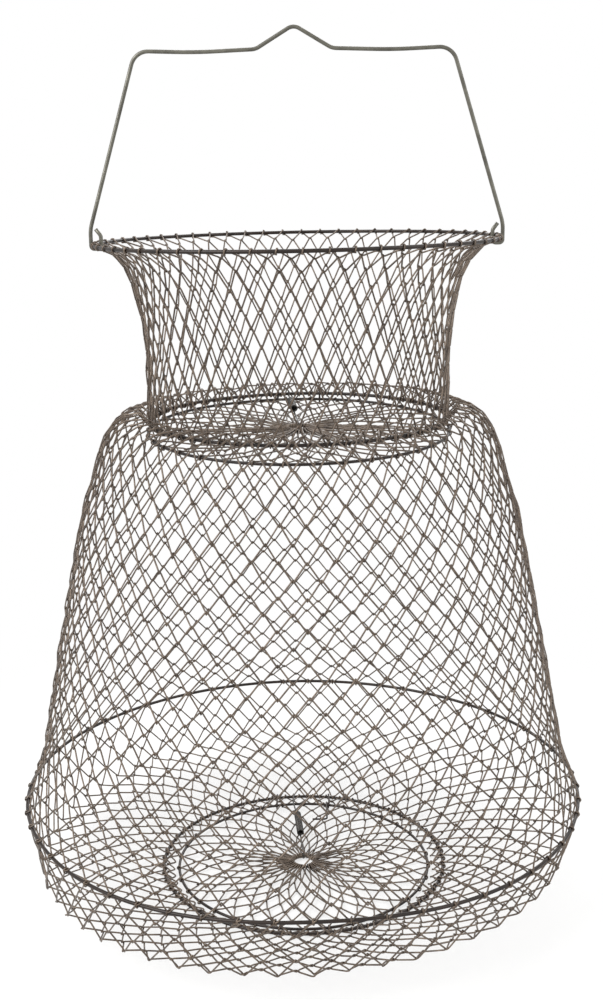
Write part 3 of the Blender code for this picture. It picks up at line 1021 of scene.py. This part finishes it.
@dataclass(frozen=True)
class Grip:
    """How a wire goes round a ring's wire, a little clear of it."""

    ring_wire: float
    wire: float
    clearance: float

    @property
    def radius(self) -> float:
        """Radius at which the wire's middle rounds the ring's."""
        return self.ring_wire / 2 / math.cos(math.pi / 6) + self.clearance + self.wire / 2

    @property
    def lowest(self) -> float:
        """How far below level it may start on a ring that lies on the floor, in degrees."""
        depth = self.ring_wire / 2 - self.wire / 2 - self.clearance / 2
        return math.degrees(math.asin(depth / self.radius))


@dataclass
class DoorSpring:
    """A tension spring, from a hook round the fixed ring through close curls to the gather ring."""

    door: Door
    fixed_body: str
    ring_radius: float
    ring_wire: float
    ring_level: float
    on_floor: bool
    wire: float = 0.9
    curl_radius: float = 1.8
    turns: int = 27
    pitch: float = 0.963
    coil_start: float = 18.0
    sidestep: float = 6.4
    net_depth: float = 1.3
    clearance: float = 0.3
    steps: int = 18
    # Where the hook starts and ends, in degrees. On the floor it starts as low as it can.
    hook_angles: Point = (-60.0, 150.0)
    floor_hook_end: float = 100.0
    # The wire bends with the door from behind its hinge to just before the curls
    bend_behind: float = 1.5
    bend_before_coil: float = 4.0

    def over_door(self, ahead: float, height: float) -> Vector:
        """A place over the door, as (y, z), that far ahead of the hinge and that high, in mm."""
        spot = Matrix.Rotation(math.radians(-self.door.tilt), 2) @ Vector((-ahead, height))
        return Vector(self.door.hinge) + spot

    def points(self) -> list[Place]:
        """Follows the spring's wire from the fixed ring to the gather ring.

        Returns:
            The wire's points, in mm.
        """
        lying = self.net_depth / 2 + self.clearance + self.wire / 2
        hook, crossing, grip = (
            Grip(ring, self.wire, self.clearance)
            for ring in (self.ring_wire, self.door.wire, self.door.gather_wire)
        )
        ring_y = chord(self.ring_radius, self.sidestep)
        start, end = (-hook.lowest, self.floor_hook_end) if self.on_floor else self.hook_angles
        flat = arc((ring_y, self.ring_level), hook.radius, start, end, 14)
        if self.on_floor:
            flat.append(self.over_door(0, crossing.radius))
        points = [(-self.sidestep, spot.x, spot.y) for spot in flat]
        arm_end = self.door.reach - self.door.gather_radius
        run = arm_end + ring_y - self.door.hinge[0]
        for step in range(self.turns * self.steps + 1):
            turn = 2 * math.pi * step / self.steps
            ahead = self.coil_start + self.pitch * step / self.steps
            spot = self.over_door(ahead, lying + self.curl_radius * (1 - math.cos(turn)))
            middle = -self.sidestep * (arm_end - ahead) / run
            points.append((middle + self.curl_radius * math.sin(turn), spot.x, spot.y))
        for across, up in arc((-arm_end, 0), grip.radius, 90, 270, 12):
            spot = self.over_door(-across, up)
            points.append((0.0, spot.x, spot.y))
        return points

    def build(self) -> None:
        """Makes the spring in place of its CAD node."""
        mesh = WireMesh(f"round_{self.door.place}_door_spring", Finish.SPRING)
        piece = mesh.add(np.array(self.points()), self.wire / 2, sides=10, closed=False).make()
        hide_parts(f"{self.door.place}_door_spring")
        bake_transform(piece)


@dataclass
class HingeWires:
    """The wires that hang each door from its ring."""

    basket: Basket
    top: Door
    bottom: Door
    wire: float = 1.2
    clearance: float = 0.3
    keeper_offset: float = 1.8
    keeper_lead: float = 6.0
    keeper_reach: float = 22.5
    keeper_bend: float = 2.0
    keeper_foot: float = 9.5
    net_depth: float = 1.3

    def grip(self, ring_wire: float) -> Grip:
        """How this wire goes round a ring's wire."""
        return Grip(ring_wire, self.wire, self.clearance)

    def build(self) -> None:
        """Makes the top door's loops and the bottom door's clips."""
        self.build_loops()
        self.build_clips()

    def build_loops(self) -> None:
        """Makes the closed loops round the neck ring and the top door's ring."""
        reach = self.grip(self.basket.neck_wire).radius
        spread = self.top.hinge_spread
        upper = Vector((chord(self.basket.neck_radius, spread), self.basket.neck_level))
        lower = Vector(self.top.hinge)
        steep = math.degrees(math.atan2(upper.y - lower.y, upper.x - lower.x))
        outline = arc(upper, reach, steep - 90, steep + 90, 18)
        outline += arc(lower, reach, steep + 90, steep + 270, 18)
        for side, word in ((-1, "left"), (1, "right")):
            points = np.array([(side * spread, spot.x, spot.y) for spot in outline])
            mesh = WireMesh(f"round_top_hinge_loop_{word}", Finish.RING)
            piece = mesh.add(points, self.wire / 2, sides=10).make()
            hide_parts(f"top_hinge_loop_{word}")
            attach(piece, "neck")

    def build_clips(self) -> None:
        """Makes the clips over the base ring, and the keeper that runs on from the right one."""
        hold = self.grip(self.basket.base_wire)
        grip = self.grip(self.bottom.wire).radius
        spread = self.bottom.hinge_spread
        base = (chord(self.basket.base_radius, spread), self.basket.base_level)
        over = arc(base, hold.radius, -hold.lowest, 100, 12)
        left = over + arc(self.bottom.hinge, grip, 90, 360, 24)
        right = [(spread, spot.x, spot.y) for spot in over]
        for step, spot in enumerate(arc(self.bottom.hinge, grip, 90, 450, 32)):
            right.append((spread - self.keeper_offset * step / 32, spot.x, spot.y))
        outlines = {
            "left": [(-spread, spot.x, spot.y) for spot in left],
            "right": right + self.keeper(spread - self.keeper_offset),
        }
        for word, points in outlines.items():
            mesh = WireMesh(f"round_bottom_hinge_clip_{word}", Finish.RING)
            piece = mesh.add(np.array(points), self.wire / 2, sides=10, closed=False).make()
            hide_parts(f"bottom_hinge_clip_{word}")
            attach(piece, "base")

    def keeper(self, start: float) -> list[Place]:
        """Runs the right clip's wire on over the door, straight ahead and then left as a foot.

        Args:
            start: How far right of the middle it starts, in mm.

        Returns:
            The wire's points, in mm.
        """
        bend, reach = self.keeper_bend, self.keeper_reach
        flat = [(start, self.keeper_lead), (start, reach - bend)]
        for angle in (math.pi / 2 * turn / 7 for turn in range(1, 7)):
            flat.append((start - bend * (1 - math.cos(angle)), reach - bend * (1 - math.sin(angle))))
        flat += [(start - bend, reach), (start - self.keeper_foot, reach)]
        lying = self.net_depth / 2 + self.clearance + self.wire / 2
        slope = Matrix.Rotation(math.radians(self.bottom.tilt), 2)
        hinge_y, hinge_z = self.bottom.hinge
        spots = ((across, slope @ Vector((ahead, lying))) for across, ahead in flat)
        return [(across, hinge_y - spot.x, hinge_z + spot.y) for across, spot in spots]


@dataclass
class Bail:
    """The bail: one wire with a flattened eye round the rim at each end and a peak in the middle.

    Its eyes reach a little below the pivot, so that they clear the leaning rim.
    """

    basket: Basket
    wire: float = 2.2
    clearance: float = 0.3
    eye_slack: float = 0.4
    eye_width: float = 5.6
    eye_drop: float = 0.6
    eye_height: float = 10.2
    eye_straight: float = 6.6
    eye_shoulder_bend: float = 3.0
    eye_corner: float = 1.8
    knee_height: float = 10.0
    knee_bend: float = 20.0
    rise: float = 101.3
    corner_half_width: float = 85.5
    corner_bend: float = 9.5
    sag: float = 1.2
    sag_bend: float = 300.0
    peak_foot: float = 20.6
    peak_foot_bend: float = 9.0
    peak_rise: float = 12.2
    peak_bend: float = 6.0
    tip_gap: float = 0.7
    lean: float = 0.3

    def build(self) -> None:
        """Makes the bail in place of its CAD node."""
        drop = self.basket.rim_wire / 2 + self.clearance + self.wire / 2
        pivot = self.basket.rim_level - drop
        eye_out = self.basket.rim_radius + self.basket.rim_wire / 2 / math.cos(math.pi / 6)
        eye_out += self.eye_slack + self.wire / 2
        eye_in = eye_out - self.eye_width
        bar = drop + self.rise
        sag = ((self.corner_half_width + self.peak_foot) / 2, bar - self.sag)
        half = [
            ((eye_out - self.wire - self.tip_gap, self.eye_height), 0.0),
            ((eye_in, self.eye_straight), self.eye_shoulder_bend),
            ((eye_in, -self.eye_drop), self.eye_corner),
            ((eye_out, -self.eye_drop), self.eye_corner),
            ((eye_out, self.knee_height), self.knee_bend),
            ((self.corner_half_width, bar), self.corner_bend),
            (sag, self.sag_bend),
            ((self.peak_foot, bar), self.peak_foot_bend),
        ]
        other = [((-point[0], point[1]), bend) for point, bend in reversed(half)]
        path = bent([*half, ((0.0, bar + self.peak_rise), self.peak_bend), *other], 10)
        lean = Matrix.Rotation(math.radians(self.lean), 2)
        points = np.array([(spot.x, 0, pivot + spot.y) for spot in (lean @ point for point in path)])
        piece = WireMesh("round_bail", Finish.BAIL).add(points, self.wire / 2, closed=False).make()
        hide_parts("bail")
        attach(piece, "handle")


@dataclass
class Studio:
    """A white table and backdrop, soft lamps and the photograph's camera."""

    lens: float = 48.715
    sensor: float = 36.0
    camera_aside: float = 1.1
    camera_back: float = 764.04
    camera_height: float = 412.65
    camera_pitch: float = 13.485
    camera_roll: float = -0.6
    floor_size: float = 6000.0
    shadow_near: float = 180.0
    shadow_far: float = 420.0
    shadow_fade: float = 0.65
    aim_height: float = 230.0
    room_light: float = 0.55
    # Each lamp's name, place, width and power in watts
    lamps: tuple[tuple[str, Place, float, float], ...] = (
        ("key lamp", (-1300, -900, 1300), 1300, 34),
        ("fill lamp", (1300, -700, 900), 1300, 7),
        ("back lamp", (300, 1300, 1300), 1500, 16),
    )

    def build(self) -> None:
        """Adds the floor, the lamps, the world and the camera."""
        self.add_floor()
        self.add_lamps()
        self.add_world()
        self.add_camera()
        bpy.context.scene.view_settings.view_transform = "Standard"

    def add_floor(self) -> None:
        """Adds a pale matt table top.

        It shows plain white to the eye and in gloss, and keeps the basket's shadow close round it.
        """
        half = self.floor_size / 2 * MM
        mesh = bpy.data.meshes.new("table")
        corners = [(-half, -half, 0), (half, -half, 0), (half, half, 0), (-half, half, 0)]
        mesh.from_pydata(corners, [], [(0, 1, 2, 3)])
        paper = bpy.data.materials.new("white seamless paper")
        paper.use_nodes = True
        tree = paper.node_tree
        shader = tree.nodes["Principled BSDF"]
        shader.inputs["Base Color"].default_value = linear("fbfbfa")
        shader.inputs["Roughness"].default_value = 0.9
        place = add_node(tree, "ShaderNodeNewGeometry").outputs["Position"]
        away = add_node(tree, "ShaderNodeVectorMath", {0: place}, operation="LENGTH").outputs["Value"]
        near, far = self.shadow_near * MM, self.shadow_far * MM
        fade = add_node(
            tree,
            "ShaderNodeMapRange",
            {"Value": away, "From Min": near, "From Max": far, "To Min": self.shadow_fade},
            interpolation_type="SMOOTHSTEP",
        ).outputs["Result"]
        white = add_node(tree, "ShaderNodeEmission", {"Color": linear("ffffff"), "Strength": 1.0})
        shown = add_node(tree, "ShaderNodeMath", {0: self.seen(tree), 1: fade}, operation="MULTIPLY")
        parts = {0: shown.outputs[0], 1: shader.outputs[0], 2: white.outputs[0]}
        mixed = add_node(tree, "ShaderNodeMixShader", parts)
        tree.links.new(mixed.outputs[0], tree.nodes["Material Output"].inputs["Surface"])
        mesh.materials.append(paper)
        floor = bpy.data.objects.new("table", mesh)
        bpy.context.scene.collection.objects.link(floor)

    @staticmethod
    def seen(tree: Tree) -> Socket:
        """Tells rays that end in a picture, straight or by gloss or glass, from rays that light things.

        Args:
            tree: The node tree.

        Returns:
            A socket that is 1 for such rays.
        """
        path = add_node(tree, "ShaderNodeLightPath").outputs
        rays = {0: path["Is Camera Ray"], 1: path["Is Glossy Ray"]}
        direct = add_node(tree, "ShaderNodeMath", rays, operation="MAXIMUM").outputs[0]
        rays = {0: direct, 1: path["Is Transmission Ray"]}
        return add_node(tree, "ShaderNodeMath", rays, operation="MAXIMUM").outputs[0]

    def add_lamps(self) -> None:
        """Adds three large soft lamps."""
        for name, spot, size, power in self.lamps:
            light = bpy.data.lights.new(name, "AREA")
            light.size = size * MM
            light.energy = power
            lamp = bpy.data.objects.new(name, light)
            lamp.location = Vector(spot) * MM
            aim = Vector((0, 0, self.aim_height)) * MM - lamp.location
            lamp.rotation_euler = aim.to_track_quat("-Z", "Y").to_euler()
            bpy.context.scene.collection.objects.link(lamp)

    def add_world(self) -> None:
        """Adds a soft white surround that cameras and mirrors see as plain white."""
        world = bpy.data.worlds.new("white room")
        bpy.context.scene.world = world
        world.use_nodes = True
        tree = world.node_tree
        tree.nodes.clear()
        white = linear("ffffff")
        light, shown = (
            add_node(tree, "ShaderNodeBackground", {"Color": white, "Strength": strength}).outputs[0]
            for strength in (self.room_light, 1.0)
        )
        mixed = add_node(tree, "ShaderNodeMixShader", {0: self.seen(tree), 1: light, 2: shown})
        add_node(tree, "ShaderNodeOutputWorld", {"Surface": mixed.outputs[0]})

    def add_camera(self) -> None:
        """Adds the camera that the five rings of the photograph were fitted with."""
        lens = bpy.data.cameras.new("camera")
        lens.lens = self.lens
        lens.sensor_width = self.sensor
        camera = bpy.data.objects.new("camera", lens)
        camera.location = Vector((self.camera_aside, -self.camera_back, self.camera_height)) * MM
        raised = Matrix.Rotation(math.radians(90 - self.camera_pitch), 3, "X")
        rolled = Matrix.Rotation(math.radians(self.camera_roll), 3, "Z")
        camera.rotation_euler = (raised @ rolled).to_euler()
        bpy.context.scene.collection.objects.link(camera)
        bpy.context.scene.camera = camera


def main() -> None:
    """Dresses the basket and sets the studio."""
    logging.basicConfig(level=logging.INFO, format="%(name)s: %(message)s")
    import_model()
    b = basket = Basket()
    stance = Stance(basket)
    for name, node, body, radius, wire, level in (
        ("round_base_ring", "base_ring", "base", b.base_radius, b.base_wire, b.base_level),
        ("round_main_hoop", "main_hoop", "hoop", b.hoop_radius, b.hoop_wire, b.hoop_level),
        ("round_neck_ring", "neck_ring", "neck", b.neck_radius, b.neck_wire, b.neck_level),
        ("round_rim", "rim_ring", "rim", b.rim_radius, b.rim_wire, b.rim_level),
    ):
        Ring(name, node, body, radius, wire, (0, 0, level), stance=stance).build()
        log.info("built %s", name)
    Walls(basket, stance).build()
    log.info("built the neck, body and bottom nets")
    places = DoorPlaces(basket)
    top, bottom = places.top(), places.bottom()
    for door in (top, bottom):
        door.build()
        log.info("built the %s door", door.place)
    DoorSpring(top, "neck", b.neck_radius, b.neck_wire, b.neck_level, on_floor=False).build()
    DoorSpring(bottom, "base", b.base_radius, b.base_wire, b.base_level, on_floor=True).build()
    HingeWires(basket, top, bottom).build()
    Bail(basket).build()
    log.info("built the springs, hinge wires and bail")
    Studio().build()


if __name__ == "__main__":
    main()
